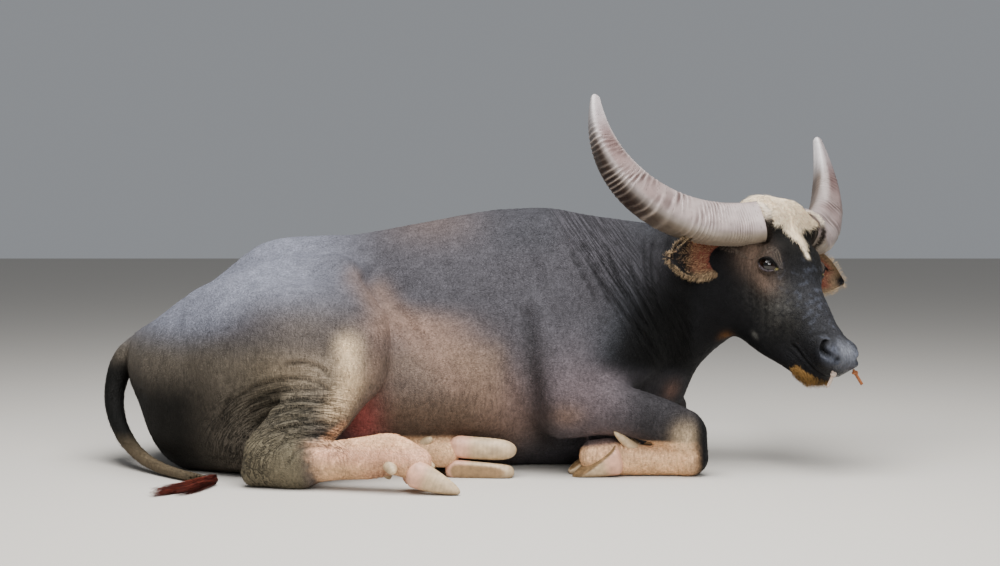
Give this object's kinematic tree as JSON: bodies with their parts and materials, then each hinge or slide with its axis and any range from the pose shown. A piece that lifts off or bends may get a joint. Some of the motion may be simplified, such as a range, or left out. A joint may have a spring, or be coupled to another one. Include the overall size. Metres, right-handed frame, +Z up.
{
  "type": "water buffalo",
  "caption": "Life-size swamp-type water buffalo lying on its brisket, head turned, wide swept-back horns, a rope through the nose.",
  "frame": {"origin": "middle of the bounding box, on the floor", "axes": "+X towards the head end, -Y towards the animal's right side, which faces the viewer, +Z up"},
  "size_m": [2.053, 1.1214, 0.9865],
  "materials": {
    "slate_skin": "dry slate-grey hide with sparse short hair",
    "black_skin": "black folded hide with short hair",
    "cream_skin": "cream and pink hide with short pale hair",
    "horn_keratin": "ridged grey-brown horn",
    "hoof_keratin": "worn cream hoof horn",
    "dark_eye": "wet dark brown",
    "maroon_hair": "coarse straight hair",
    "rope_fibre": "worn twisted fibre"
  },
  "bodies": {
    "root": {"head": "black_skin", "neck": "black_skin", "trunk": "slate_skin", "eye_right": "dark_eye", "eye_left": "dark_eye", "horn_right": "horn_keratin", "horn_left": "horn_keratin", "ear_right": "black_skin", "ear_left": "black_skin", "nose_rope_right": "rope_fibre", "nose_rope_left": "rope_fibre", "hind_right_thigh": "slate_skin", "hind_right_shank": "slate_skin", "hind_right_cannon": "cream_skin", "hind_left_thigh": "slate_skin", "hind_left_cannon": "cream_skin", "fore_right_arm": "slate_skin", "fore_right_forearm": "black_skin", "fore_right_cannon": "cream_skin", "fore_left_arm": "slate_skin", "fore_left_forearm": "black_skin", "fore_left_cannon": "cream_skin", "hind_right_claw_outer": "hoof_keratin", "hind_right_claw_inner": "hoof_keratin", "hind_right_dewclaw_outer": "hoof_keratin", "hind_right_dewclaw_inner": "hoof_keratin", "hind_left_claw_outer": "hoof_keratin", "hind_left_claw_inner": "hoof_keratin", "hind_left_dewclaw_outer": "hoof_keratin", "hind_left_dewclaw_inner": "hoof_keratin", "fore_right_claw_outer": "hoof_keratin", "fore_right_claw_inner": "hoof_keratin", "fore_right_dewclaw_outer": "hoof_keratin", "fore_right_dewclaw_inner": "hoof_keratin", "fore_left_claw_outer": "hoof_keratin", "fore_left_claw_inner": "hoof_keratin", "fore_left_dewclaw_outer": "hoof_keratin", "fore_left_dewclaw_inner": "hoof_keratin", "tail_root": "slate_skin", "tail_middle": "slate_skin", "tail_end": "slate_skin", "tail_switch": "maroon_hair"}
  },
  "joints": []
}
